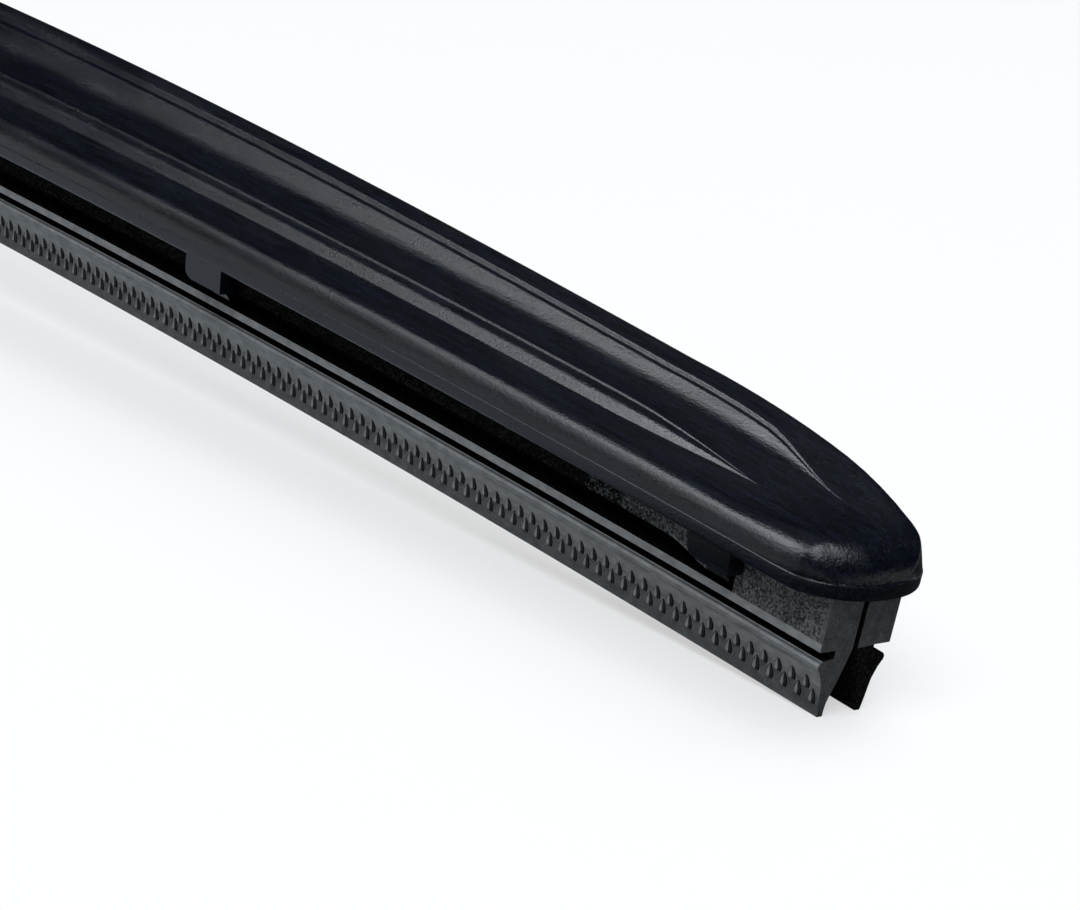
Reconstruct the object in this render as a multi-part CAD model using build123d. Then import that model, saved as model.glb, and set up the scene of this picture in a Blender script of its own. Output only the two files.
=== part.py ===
from build123d import *
import math
import os

# Blade, in millimetres. +X runs to one tip, +Y across, +Z away from the glass.
rubber_length = 550.0       # along the bowed lip line
bow_radius = 3600.0         # free bow of the whole blade, measured at the lip line
seat_gap = 0.05             # pieces of one assembly that seat on each other
loose_gap = 0.3             # pieces that slide or snap past each other
fuse_depth = 0.5            # an added shape reaches this far into the one it joins
cut_margin = 1.0            # a cutting shape reaches this far past what it cuts

# Wiping rubber: heights above the lip edge, half widths from the middle plane
lip_edge = 0.75             # thickness of one lip at its wiping edge
lip_spread = 3.15           # outer edge of one lip
shoulder_height = 6.2
shoulder_half = 4.85
shoulder_slope = 0.17       # the shoulder's top rises to the neck by this much
shoulder_chamfer = 0.3
lip_flare = 0.6             # the lip's outside above its edge, at lip_waist of the shoulder's height
lip_waist = 0.55
groove_depth = 2.3          # neck groove, in from the flange
groove_height = 0.9
flange_half = 5.15
flange_thickness = 0.9
claw_slot_height = 2.05
claw_slot_depth = 2.95
head_lower = 2.1            # head below the rail slot
head_upper = 1.2            # head above the rail slot
slit_width = 0.75           # slit between the two lips
slit_roof = 0.8             # rubber left above the slit
end_block_length = 12.9
end_block_height = 13.15    # above the lip edge, just under the cover's rim
pocket_length = 4.0         # claw pocket beside the end block
ramp_length = 7.5
ramp_drop = 1.3
ramp_land = 0.6             # flat at the ramp's low end

# Spring rails
rail_thickness = 0.9
rail_width = 3.0
rail_end_play = 0.5

# Cover halves
cover_half_width = 8.9
cover_wall = 1.7
rim_height = 13.35          # underside of the rim above the lip edge
rim_band = 1.5              # upright band of the rim
shoulder_rise = 4.25        # near shoulder above the rim
crest_root = 14.15          # crest above the rim at the middle of the blade
crest_tip = 10.7            # crest above the rim where the nose begins
crest_run = 160.0           # the crest falls from one to the other over this length
tip_overhang = 1.5          # nose past the rubber's end
nose_length = 38.6          # the crest rounds down over this length
shoulder_round = 4.1        # the near shoulder rounds down over this length
near_corner = 5.5           # round of the nose's near corner in plan
far_corner_along = 4.3      # oval round of its far corner in plan
far_corner_across = 7.4
nose_wall = 5.0             # solid end of the nose
ridge_end = 18.5            # the middle ridge comes to a point here, from the cover's end
ridge_fade = 16.0
ridge_lift = 1.2            # middle ridge above the terrace
ridge_middle = -0.27        # its place across, as a share of the half width
terrace_start = -0.75       # the near terrace rises from here, as a share of the half width
terrace_slope = 0.427       # its rise for each half width, as a share of the crest above the shoulder
sweep_end = 11.0            # the hollow sweep up to the crest ends here, from the cover's end
sweep_fade = 12.0
least_share = 0.1           # what is left of ridge and sweep at the nose
full_crest = 8.15           # crest above the shoulder for which the sweep's sizes hold
sweep_width = 2.9
sweep_height = 2.8
cover_start = 40.0          # inner end of each half, from the middle
claw_pitch = 86.0
end_claw = 14.9             # middle of the outermost claw, in from the rubber's end
claw_count = 3
claw_width = 7.0
end_claw_width = 6.1
end_claw_inset = 0.9        # outermost claw stands behind the rim by this much
tab_drop = 2.8              # claw's tab below the rim
hook_width = 3.2
hook_reach = 1.85           # how far a hook reaches under the rubber's head
hook_thickness = 0.9
hook_root = 0.8             # thickness of a hook where it hangs from its tab
claw_round = 1.2            # rounded lower corner of a claw
claw_taper = 0.35           # a claw leans in by this much over its tab
saddle_thickness = 1.6      # web inside the cover over each claw
saddle_sink = 0.75          # the web's top reaches into the wall by this share of it

# Bridge, rivet and sleeve
bridge_length = 72.0
bridge_wall = 1.5
bridge_web = 1.7
skirt_length = 56.0
skirt_height = 4.0
bridge_claw_spacing = 40.0
bridge_claw_width = 8.0
cheek_gap = 10.0
cheek_foot = 18.0
cheek_round = 5.0
pivot_height = 22.5         # above the lip edge
rivet_diameter = 4.8
rivet_head_diameter = 7.2
rivet_head_height = 0.8
sleeve_diameter = 6.2
running_gap = 0.05          # radial clearance of turning fits

# Arm adapter
adapter_width = 9.6
hub_radius = 5.8
nose_radius = 5.4
nose_reach = 15.0           # arm pin ahead of the pivot
nose_rise = 4.5             # arm pin above the pivot
arm_pin_diameter = 6.35     # side pin of the wiper arm
tail_reach = 14.0
tail_height = 6.0
tail_rise = 2.0             # underside of the tail above the pivot
tail_round = 1.2
throat_width = 5.4
core_depth = 3.0            # moulding pockets in the adapter's sides
core_wall = 1.5

# Shroud over the bridge
shroud_length = 88.0
shroud_wall = 1.3
window_length = 52.0
window_wall_height = 6.0    # side walls beside the window, above the rim
shroud_rib = 1.6

# Sizes worked out from those above
half_length = rubber_length / 2
half_angle = half_length / bow_radius
flange_bottom = shoulder_height + shoulder_slope + groove_height
flange_top = flange_bottom + flange_thickness
head_bottom = flange_top + claw_slot_height
rail_bottom = head_bottom + head_lower
rail_slot_height = rail_thickness + 2 * seat_gap
head_top = rail_bottom + rail_slot_height + head_upper
slot_wall = flange_half - claw_slot_depth
sag = bow_radius * (1 - math.cos(half_angle))
cover_end = half_length + tip_overhang
nose_start = cover_end - nose_wall
hook_tip = flange_half - hook_reach
hook_top = head_bottom - loose_gap
hook_bottom = hook_top - hook_thickness
claw_inner = flange_half + loose_gap
web_bottom = head_top + seat_gap
web_top = web_bottom + bridge_web
bridge_half = claw_inner + bridge_wall
cheek_thickness = bridge_half - cheek_gap / 2
tab_bottom = rim_height - tab_drop
sleeve_radius = sleeve_diameter / 2
rivet_radius = rivet_diameter / 2
pivot = Vector(0, 0, sag + pivot_height)
arm_pin_radius = arm_pin_diameter / 2 + running_gap


# The bow

def station(u):
    """Cross-section plane at arc length u from the middle: local x is +Y, local y is away from the glass."""
    angle = u / bow_radius
    origin = (bow_radius * math.sin(angle), 0, bow_radius * (math.cos(angle) - math.cos(half_angle)))
    return Plane(origin, x_dir=(0, 1, 0), z_dir=(math.cos(angle), 0, -math.sin(angle)))


def side_plane(u, y):
    """Side-view plane at arc length u and offset y: local x runs to the tip, local y away from the glass."""
    across = station(u)
    return Plane(across.origin + Vector(0, y, 0), x_dir=across.z_dir, z_dir=(0, -1, 0))


def bowed(face, start, end):
    """Bar of one cross-section that follows the bow from arc length start to end."""
    axis = Axis((0, 0, -bow_radius * math.cos(half_angle)), (0, 1, 0))
    return revolve(station(start) * face, axis, math.degrees((end - start) / bow_radius))


def block(y0, y1, h0, h1):
    """Rectangle of a cross-section from its limits across and in height."""
    return Pos((y0 + y1) / 2, (h0 + h1) / 2) * Rectangle(abs(y1 - y0), h1 - h0)


def polygon(points):
    """Face inside a closed row of corner points."""
    return make_face(Polyline(*points, close=True).edges())


def both_sides(solid):
    """A solid and its mirror image across the blade."""
    return solid + mirror(solid, Plane.XZ)


def both_ends(solid):
    """A solid and its mirror image at the other end of the blade."""
    return solid + mirror(solid, Plane.YZ)


# Wiping rubber

def rubber_section():
    """Twin-lip section: lips, neck groove, flange, claw slot and head with its rail slots."""
    slit = slit_width / 2
    slit_top = head_top - slit_roof
    slit_bottom = shoulder_height + groove_height
    rail_slot_wall = flange_half - rail_width - seat_gap
    groove_wall = flange_half - groove_depth
    straight = Polyline(
        (0, slit_top), (0, head_top), (flange_half, head_top),
        (flange_half, rail_bottom + rail_slot_height), (rail_slot_wall, rail_bottom + rail_slot_height),
        (rail_slot_wall, rail_bottom), (flange_half, rail_bottom),
        (flange_half, head_bottom), (slot_wall, head_bottom),
        (slot_wall, flange_top), (flange_half, flange_top),
        (flange_half, flange_bottom), (groove_wall, flange_bottom),
        (groove_wall, flange_bottom - groove_height), (shoulder_half - shoulder_chamfer, shoulder_height),
        (shoulder_half, shoulder_height - shoulder_chamfer),
    )
    outer = Spline(
        (shoulder_half, shoulder_height - shoulder_chamfer),
        (lip_spread + lip_flare, shoulder_height * lip_waist),
        (lip_spread, 0),
    )
    edge = Polyline((lip_spread, 0), (lip_spread - lip_edge, 0))
    inner = Spline(
        (lip_spread - lip_edge, 0),
        ((lip_spread - lip_edge + slit) * lip_waist, shoulder_height * lip_waist),
        (slit, slit_bottom),
    )
    slit_side = Polyline((slit, slit_bottom), (slit, slit_top), (0, slit_top))
    half = make_face([*straight.edges(), outer, *edge.edges(), inner, *slit_side.edges()])
    return half + mirror(half, Plane.YZ)


def rubber_ramp():
    """Wedge in the claw slot that the end claw snaps past, on the near side of the right end."""
    end = -end_block_length - pocket_length
    ramp = make_face([
        *Polyline((end - ramp_length, head_bottom), (end, head_bottom), (end, head_bottom - ramp_drop),
                  (end - ramp_land, head_bottom - ramp_drop)).edges(),
        Spline((end - ramp_land, head_bottom - ramp_drop),
               (end - ramp_length * 0.5, head_bottom - ramp_drop * 0.4), (end - ramp_length, head_bottom)),
    ])
    return extrude(side_plane(half_length, -slot_wall) * ramp, flange_half - slot_wall)


def wiping_rubber():
    """Full-length rubber with end blocks, claw pockets and ramps."""
    bar = bowed(rubber_section(), -half_length, half_length)
    block_start = half_length - end_block_length
    filled = block(slot_wall - fuse_depth, flange_half, flange_bottom, end_block_height)
    end_block = bowed(filled + mirror(filled, Plane.YZ), block_start, half_length)
    wide = flange_half + cut_margin
    above = block(-wide, wide, end_block_height, head_top + cut_margin)
    lowered = bowed(above, block_start, half_length + cut_margin)
    return bar + both_ends(end_block) + both_ends(both_sides(rubber_ramp())) - both_ends(lowered)


# Spring rails

def spring_rail(side):
    """Flat rail in the head's slot, side -1 for the near one and +1 for the far one."""
    inner = flange_half - rail_width
    bottom = rail_bottom + seat_gap
    face = block(side * inner, side * flange_half, bottom, bottom + rail_thickness)
    reach = half_length - end_block_length - rail_end_play
    return bowed(face, -reach, reach)


# Cover halves

def quarter(share):
    """Quarter of a circle: 0 at 0, steep there, and level from 1 on."""
    left = 1 - min(max(share, 0), 1)
    return math.sqrt(1 - left * left)


def cover_shape(u):
    """Widths to the near and far side, shoulder and crest above the rim, shares of ridge and sweep."""
    ahead = max(cover_end - u, 0)
    rise = min(max((ahead - nose_length) / crest_run, 0), 1)
    crest = crest_tip + (crest_root - crest_tip) * math.sin(rise * math.pi / 2)
    crest = rim_band + (crest - rim_band) * quarter(ahead / nose_length)
    shoulder = rim_band + (shoulder_rise - rim_band) * quarter(ahead / shoulder_round)
    near = cover_half_width - near_corner * (1 - quarter(ahead / near_corner))
    far = cover_half_width - far_corner_across * (1 - quarter(ahead / far_corner_along))
    ridge = max(quarter((ahead - ridge_end) / ridge_fade), least_share)
    sweep = max(quarter((ahead - sweep_end) / sweep_fade), least_share)
    return near, far, shoulder, crest, ridge, sweep


def cover_corners(near, far, shoulder, crest, ridge, sweep):
    """Corner points of the cover's outside, from the near rim over its ridges to the far rim."""
    rise = crest - shoulder
    base = rim_height + shoulder
    band = rim_height + rim_band
    sweep_share = sweep * rise / full_crest
    foot = (far * 0.325, base + rise * 0.485)

    def on_terrace(y, lift):
        share = ridge_middle + (y - ridge_middle) * ridge
        height = base + rise * terrace_slope * (share - terrace_start) + ridge_lift * lift * ridge
        return near * share, height

    return {
        "near_rim": (-near, band),
        "near_shoulder": (-near * 0.925, band + (shoulder - rim_band) * 0.76),
        "near_top": (near * terrace_start, base),
        "ridge_foot": on_terrace(-0.425, 0.1),
        "ridge_face": on_terrace(-0.33, 0.75),
        "ridge_top": on_terrace(-0.195, 1.0),
        "ridge_back": on_terrace(-0.14, 0.47),
        "sweep_foot": foot,
        "sweep_top": (foot[0] + sweep_width * sweep_share, foot[1] + sweep_height * sweep_share),
        "crest_front": (far * 0.78, base + rise * 0.872),
        "crest": (far * 0.876, base + rise * 0.925),
        "crest_back": (far * 0.935, base + rise * 0.89),
        "far_side": (far * 0.97, band + (shoulder + rise * 0.4 - rim_band) * 0.95),
        "far_rim": (far, band),
    }


def cover_skin(c):
    """Edges over the cover through its corners c, from its near rim to its far rim."""
    return [
        ThreePointArc(c["near_rim"], c["near_shoulder"], c["near_top"]),
        Line(c["near_top"], c["ridge_foot"]),
        Line(c["ridge_foot"], c["ridge_face"]),
        Line(c["ridge_face"], c["ridge_top"]),
        Line(c["ridge_top"], c["ridge_back"]),
        Line(c["ridge_back"], c["sweep_foot"]),
        Line(c["sweep_foot"], c["sweep_top"]),
        Line(c["sweep_top"], c["crest_front"]),
        ThreePointArc(c["crest_front"], c["crest"], c["crest_back"]),
        ThreePointArc(c["crest_back"], c["far_side"], c["far_rim"]),
    ]


def cover_lining(near, far, crest):
    """Points of the cover's inside, from the far rim to the near rim."""
    roof = crest - cover_wall
    shares = [(1, 0), (0.985, 0.3), (0.8, 0.84), (0.6, 0.68), (0.28, 0.48), (-0.2, 0.4), (-0.62, 0.25),
              (-1, 0.12), (-1, 0)]
    return [(y * ((near if y < 0 else far) - cover_wall), rim_height + roof * h) for y, h in shares]


def skin_face(corners, lining, bottom):
    """Cross-section between the cover's skin and a row of points from far to near at its bottom."""
    near, far = corners["near_rim"], corners["far_rim"]
    below = [far, (far[0], bottom), *lining, (near[0], bottom), near]
    return make_face([*cover_skin(corners), *Polyline(*below).edges()])


def cover_walls():
    """Thin-walled run of the cover, open below, from its inner end to the solid nose."""
    taper_end = cover_end - nose_length
    run = [cover_start + (taper_end - cover_start) * share for share in (0, 0.35, 0.7, 1)]
    run += [taper_end + (nose_start - taper_end) * share for share in (0.35, 0.65, 0.85, 1)]
    faces = []
    for u in run:
        near, far, _, crest, _, _ = cover_shape(u)
        face = skin_face(cover_corners(*cover_shape(u)), cover_lining(near, far, crest), rim_height)
        faces.append(station(u) * face)
    return loft(faces, ruled=True)


def cover_nose():
    """Solid round nose that closes the cover."""
    faces = []
    for share in (1, 0.62, 0.34, 0.16, 0.06, 0.012):
        u = cover_end - nose_wall * share
        faces.append(station(u) * skin_face(cover_corners(*cover_shape(u)), [], rim_height))
    return loft(faces, ruled=True)


def saddle(u):
    """Web across the inside of the cover that seats on the rubber's head."""
    near, far, _, crest, _, _ = cover_shape(u)
    sink = cover_wall * saddle_sink
    wide = polygon(cover_lining(near + cover_wall / 2, far + cover_wall / 2, crest + cover_wall / 2))
    tall = polygon(cover_lining(near, far, crest + sink))
    above = block(-near, far, head_top + seat_gap, rim_height + crest)
    return extrude(station(u - saddle_thickness / 2) * ((wide + tall) & above), saddle_thickness)


def claw(u, width, outer_half):
    """One claw on the near side: a tab down from the rim and a hook into the rubber's slot."""
    top = rim_height + cover_wall / 2
    inside_wall = cover_half_width - cover_wall / 2
    tab = polygon([
        (-inside_wall, top), (-outer_half, rim_height), (-outer_half + claw_taper, tab_bottom),
        (-claw_inner, tab_bottom), (-claw_inner, rim_height - cut_margin),
        (-inside_wall + cover_wall / 4, top),
    ])
    left, right = -width / 2, width / 2
    face_on = make_face([
        *Polyline((left + claw_round, tab_bottom), (right, tab_bottom), (right, top + cut_margin),
                  (left, top + cut_margin), (left, tab_bottom + claw_round)).edges(),
        RadiusArc((left, tab_bottom + claw_round), (left + claw_round, tab_bottom), -claw_round),
    ])
    bar = extrude(station(u + left) * tab, width)
    outline = extrude(side_plane(u, 0) * face_on, cover_half_width + cut_margin)
    root = claw_inner + hook_root
    hook = polygon([
        (-root, tab_bottom + fuse_depth), (-root, hook_top + loose_gap),
        (-claw_inner + loose_gap / 2, hook_bottom), (-hook_tip, hook_bottom), (-hook_tip, hook_top),
        (-claw_inner, hook_top), (-claw_inner, tab_bottom + fuse_depth),
    ])
    return (bar & outline) + extrude(station(u - hook_width / 2) * hook, hook_width)


def cover():
    """Right cover half: ridged skin, closed nose, claws on both sides and a saddle web over each."""
    added = [cover_nose()]
    for i in range(claw_count):
        u = half_length - end_claw - i * claw_pitch
        width = end_claw_width if i == 0 else claw_width
        outer_half = cover_half_width - (end_claw_inset if i == 0 else seat_gap)
        near = claw(u, width, outer_half)
        added += [near, mirror(near, Plane.XZ), saddle(u)]
    return cover_walls() + added


# Bridge with its rivet and sleeve

def bridge():
    """Centre base: web on the rubber's head, skirts and claws round it, cheeks for the rivet."""
    floor = Plane.XY.offset(sag)
    skirt_inner = bridge_half - bridge_wall
    web = Pos(0, 0, sag + (web_bottom + web_top) / 2) * Box(bridge_length, 2 * bridge_half, bridge_web)
    skirt_bottom = web_bottom - skirt_height
    skirt_face = block(-skirt_length / 2, skirt_length / 2, skirt_bottom, web_bottom)
    skirt = extrude(side_plane(0, -skirt_inner) * skirt_face, bridge_wall)
    grips = Part()
    for u in (-bridge_claw_spacing / 2, bridge_claw_spacing / 2):
        tab = block(-bridge_half, -skirt_inner, hook_bottom, skirt_bottom)
        hook = block(-bridge_half, -hook_tip, hook_bottom, hook_top)
        grip = Plane((u - bridge_claw_width / 2, 0, floor.origin.Z), x_dir=(0, 1, 0), z_dir=(1, 0, 0))
        grips += extrude(grip * (tab + hook), bridge_claw_width)
    foot = Polyline((-cheek_foot / 2, web_bottom), (cheek_foot / 2, web_bottom)).edges()
    round_top = Pos(0, pivot_height) * CenterArc((0, 0), cheek_round, 0, 360)
    cheek_face = make_hull([*foot, *round_top.edges()])
    cheek = extrude(side_plane(0, -cheek_gap / 2) * cheek_face, cheek_thickness)
    body = web + both_sides(skirt + grips + cheek)
    rivet_hole = Pos(*pivot) * Rot(90, 0, 0) * Cylinder(rivet_radius + seat_gap / 2, 4 * bridge_half)
    return body - rivet_hole


def pivot_rivet():
    """Cross rivet with a round head on each cheek."""
    shank = Cylinder(rivet_radius, 2 * bridge_half)
    head = Cylinder(rivet_head_diameter / 2, rivet_head_height)
    head = fillet(head.edges().group_by(Axis.Z)[-1], rivet_head_height * 0.7)
    top = Pos(0, 0, bridge_half + rivet_head_height / 2) * head
    return Pos(*pivot) * Rot(90, 0, 0) * (shank + top + mirror(top, Plane.XY))


def rivet_sleeve():
    """Plastic sleeve on the rivet, between the cheeks."""
    length = cheek_gap - 2 * seat_gap
    tube = Cylinder(sleeve_radius, length) - Cylinder(rivet_radius + seat_gap / 2, length)
    return Pos(*pivot) * Rot(90, 0, 0) * tube


# Arm adapter

def arm_adapter():
    """Moulded adapter: snap saddle on the sleeve, nose with the arm pin's bore, and a finger tail."""
    def ring(x, h, radius):
        return Pos(x, h) * CenterArc((0, 0), radius, 0, 360)

    nose_height = pivot_height + nose_rise
    tail_bottom = pivot_height + tail_rise
    tail = Polyline((-tail_reach, tail_bottom), (-tail_reach, tail_bottom + tail_height)).edges()
    outline = make_hull([
        *ring(0, pivot_height, hub_radius).edges(),
        *ring(nose_reach, nose_height, nose_radius).edges(),
        *tail,
    ])
    hub_hole = Pos(0, pivot_height) * Circle(sleeve_radius + running_gap)
    throat = block(-throat_width / 2, throat_width / 2, pivot_height - hub_radius - cut_margin, pivot_height)
    nose_hole = Pos(nose_reach, nose_height) * Circle(arm_pin_radius)
    near_face = side_plane(0, adapter_width / 2)
    body = extrude(near_face * (outline - hub_hole - throat - nose_hole), adapter_width)
    body = fillet(body.edges().filter_by(Axis.Y).group_by(Axis.X)[0], tail_round)
    kept = Pos(0, pivot_height) * Circle(sleeve_radius + running_gap + core_wall)
    kept += Pos(nose_reach, nose_height) * Circle(arm_pin_radius + core_wall)
    inset = offset(outline, amount=-core_wall, kind=Kind.INTERSECTION)
    core = inset - kept - block(-throat_width / 2 - core_wall, throat_width / 2 + core_wall, 0, pivot_height)
    pocket = extrude(side_plane(0, -adapter_width / 2 + core_depth) * core, core_depth)
    return body - both_sides(pocket)


# Shroud

def cap_face(c):
    """Cross-section over the cover's corners c, without its hollows."""
    near, far = c["near_rim"], c["far_rim"]
    return make_face([
        ThreePointArc(near, c["near_shoulder"], c["near_top"]),
        *Polyline(c["near_top"], c["ridge_top"], c["sweep_top"], c["crest_front"]).edges(),
        ThreePointArc(c["crest_front"], c["crest"], c["crest_back"]),
        ThreePointArc(c["crest_back"], c["far_side"], far),
        *Polyline(far, (far[0], rim_height), (near[0], rim_height), near).edges(),
    ])


def bridge_shroud():
    """Centre cap: sleeves over the inner ends of both covers and a window for the adapter."""
    corners = cover_corners(*cover_shape(cover_start))
    crest = cover_shape(cover_start)[3]
    plane = Plane((-shroud_length / 2, 0, sag), x_dir=(0, 1, 0), z_dir=(1, 0, 0))
    contour = cap_face(corners)
    inside = offset(contour, amount=loose_gap)
    outside = offset(contour, amount=loose_gap + shroud_wall)
    below = block(-2 * cover_half_width, 2 * cover_half_width, 0, rim_height)
    skin = extrude(plane * (outside - below), shroud_length)
    hollow = extrude(plane * inside, shroud_length)
    window_half = bridge_half + rivet_head_height + loose_gap
    cut_height = 2 * crest_root
    above_rim = Pos(0, 0, sag + rim_height + cut_height / 2)
    window = above_rim * Box(window_length, 2 * window_half, cut_height)
    opening = above_rim * Pos(0, 0, window_wall_height) * Box(window_length, 4 * cover_half_width, cut_height)
    middle = offset(contour, amount=loose_gap + shroud_wall / 2)
    rib_face = middle & block(-bridge_half, bridge_half, web_top + seat_gap, rim_height + 2 * crest)
    ribs = []
    for x in (-bridge_length / 2 + shroud_rib, bridge_length / 2 - 2 * shroud_rib):
        ribs.append(extrude(Plane((x, 0, sag), x_dir=(0, 1, 0), z_dir=(1, 0, 0)) * rib_face, shroud_rib))
    return skin - hollow - window - opening + ribs


# One file for each piece

os.makedirs("parts", exist_ok=True)
right_cover = cover()
pieces = {
    "wiping_rubber": wiping_rubber(),
    "spring_rail_near": spring_rail(-1),
    "spring_rail_far": spring_rail(1),
    "cover_right": right_cover,
    "cover_left": mirror(right_cover, Plane.YZ),
    "bridge": bridge(),
    "pivot_rivet": pivot_rivet(),
    "rivet_sleeve": rivet_sleeve(),
    "arm_adapter": arm_adapter(),
    "bridge_shroud": bridge_shroud(),
}
for name, piece in pieces.items():
    export_step(piece, f"parts/{name}.step")
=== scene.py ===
"""Looks of a bowed flat wiper blade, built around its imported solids.

Sizes are in millimetres in the part's own frame: +X runs to one tip, +Y across to the high side of the
cover, +Z away from the glass. Heights are above the lip edge, and u is the arc length from the middle of
the blade.
"""

import logging
import math
from dataclasses import dataclass, field
from enum import Enum
from typing import Iterable, Sequence

import bmesh
import bpy
from mathutils import Matrix, Vector


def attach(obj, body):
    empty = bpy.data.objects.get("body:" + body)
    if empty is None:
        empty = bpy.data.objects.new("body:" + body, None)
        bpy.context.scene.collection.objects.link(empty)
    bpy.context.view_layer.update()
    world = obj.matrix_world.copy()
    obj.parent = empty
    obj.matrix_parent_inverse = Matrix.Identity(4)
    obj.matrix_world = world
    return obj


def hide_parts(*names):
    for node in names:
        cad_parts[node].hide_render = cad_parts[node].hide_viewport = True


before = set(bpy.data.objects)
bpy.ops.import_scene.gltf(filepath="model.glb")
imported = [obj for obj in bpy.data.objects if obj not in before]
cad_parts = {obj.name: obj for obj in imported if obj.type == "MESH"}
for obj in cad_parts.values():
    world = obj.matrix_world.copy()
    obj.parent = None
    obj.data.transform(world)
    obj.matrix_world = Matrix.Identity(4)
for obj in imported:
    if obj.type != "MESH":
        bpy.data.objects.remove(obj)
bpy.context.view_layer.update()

LOG = logging.getLogger("wiper_blade")
MM = 0.001
BODY = "blade"
SMOOTH_ANGLE = math.radians(38)
WELD_M = 1e-6       # points closer than this are one
SLIVER_M = 1e-7     # edges shorter than this are dropped
EDGE_SHARE = 0.98   # part of a free edge that a corner's round may take
NOISE_ROUGHNESS = 0.55

# Arc length, offset and height of the point that the lamps look at
LAMP_AIM = (235.0, 0.0, 12.0)

Tree = bpy.types.NodeTree
Socket = bpy.types.NodeSocket
Section = list[tuple[float, float]]
Profile = tuple[tuple[float, ...], ...]
Span = tuple[float, float]
Size = tuple[float, float, float]

FULL: Span = (0.0, 1.0)

# Nearly all values of the noise lie in here
MOST_NOISE: Span = (0.3, 0.7)


class End(Enum):
    """The two ends of the blade, by the sign of X."""

    RIGHT = 1
    LEFT = -1


class Side(Enum):
    """The two long sides of the blade, by the sign of Y."""

    NEAR = -1
    FAR = 1


class LampUse(Enum):
    """What a lamp does: it lights the scene, shows in the gloss, or both."""

    BOTH = 0
    LIGHT = 1
    GLOSS = 2


# Helpers for shapes


def clamp(value: float) -> float:
    """Value limited to the span from 0 to 1."""
    return min(max(value, 0.0), 1.0)


def ease(value: float) -> float:
    """Smooth step from 0 to 1."""
    t = clamp(value)
    return t * t * (3 - 2 * t)


def quarter(value: float) -> float:
    """Quarter of a circle: 0 at 0, rising steeply and level at 1."""
    return math.sqrt(1 - (1 - clamp(value)) ** 2)


def taper(value: float) -> float:
    """Even rise from 0 that levels out at 1."""
    t = clamp(value)
    return t * (3 - t * t) / 2


def soft_min(a: float, b: float, blend: float) -> float:
    """The lower of two values, with a round passage where they are closer than about the blend."""
    return (a + b - math.hypot(a - b, blend)) / 2


def spread(start: float, end: float, count: int) -> list[float]:
    """Evenly spaced values from start to end, both included."""
    return [start + (end - start) * i / (count - 1) for i in range(count)]


def add_object(name: str, data: bpy.types.ID) -> bpy.types.Object:
    """Put data into the scene as an object.

    Args:
        name: Name of the object.
        data: Mesh, lamp or camera.

    Returns:
        The object, at the origin.
    """
    thing = bpy.data.objects.new(name, data)
    bpy.context.scene.collection.objects.link(thing)
    return thing


def add_smooth(name: str, mesh: bpy.types.Mesh) -> bpy.types.Object:
    """Put a mesh into the scene, smooth between its sharp edges.

    Args:
        name: Name of the object.
        mesh: Its mesh.

    Returns:
        The object, at the origin.
    """
    mesh.shade_smooth()
    mesh.set_sharp_from_angle(angle=SMOOTH_ANGLE)
    return add_object(name, mesh)


@dataclass(frozen=True)
class Corner:
    """One corner of a cross-section, rounded off by `cut` along both of its edges."""

    y: float
    h: float
    cut: float = 0.0
    steps: int = 1


def free_length(length: float, taken: float) -> float:
    """Part of an edge that is left for one corner when the other takes its own, at least about half."""
    return EDGE_SHARE * (length - min(taken, length / 2))


def rounded(corners: Sequence[Corner]) -> Section:
    """Points along a row of corners, each rounded by a curve.

    Args:
        corners: The corners in order; the first and the last stay sharp.

    Returns:
        The points, as many for any row with the same steps.
    """
    points: Section = []
    for i, corner in enumerate(corners):
        here = Vector((corner.y, corner.h))
        if corner.steps == 1 or i in (0, len(corners) - 1):
            points.append((corner.y, corner.h))
            continue
        before = Vector((corners[i - 1].y, corners[i - 1].h)) - here
        after = Vector((corners[i + 1].y, corners[i + 1].h)) - here
        start = here + before.normalized() * min(corner.cut, free_length(before.length, corners[i - 1].cut))
        end = here + after.normalized() * min(corner.cut, free_length(after.length, corners[i + 1].cut))
        for t in spread(0, 1, corner.steps):
            p = start * (1 - t) ** 2 + here * 2 * t * (1 - t) + end * t * t
            points.append((p.x, p.y))
    return points


@dataclass(frozen=True)
class Bow:
    """Free bow of the blade: an arc in the plane of X and Z."""

    radius: float = 3600.0
    half_length: float = 275.0

    @property
    def depth(self) -> float:
        """Depth of the bow's centre under the floor."""
        return self.radius * math.cos(self.half_length / self.radius)

    def point(self, u: float, y: float, h: float) -> Vector:
        """Place of a point in metres, from its arc length, offset across and height.

        Args:
            u: Arc length from the middle of the blade.
            y: Offset across.
            h: Height above the lip edge.

        Returns:
            The point in the part's frame.
        """
        angle = u / self.radius
        reach = self.radius + h
        return Vector((reach * math.sin(angle), y, reach * math.cos(angle) - self.depth)) * MM


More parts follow.
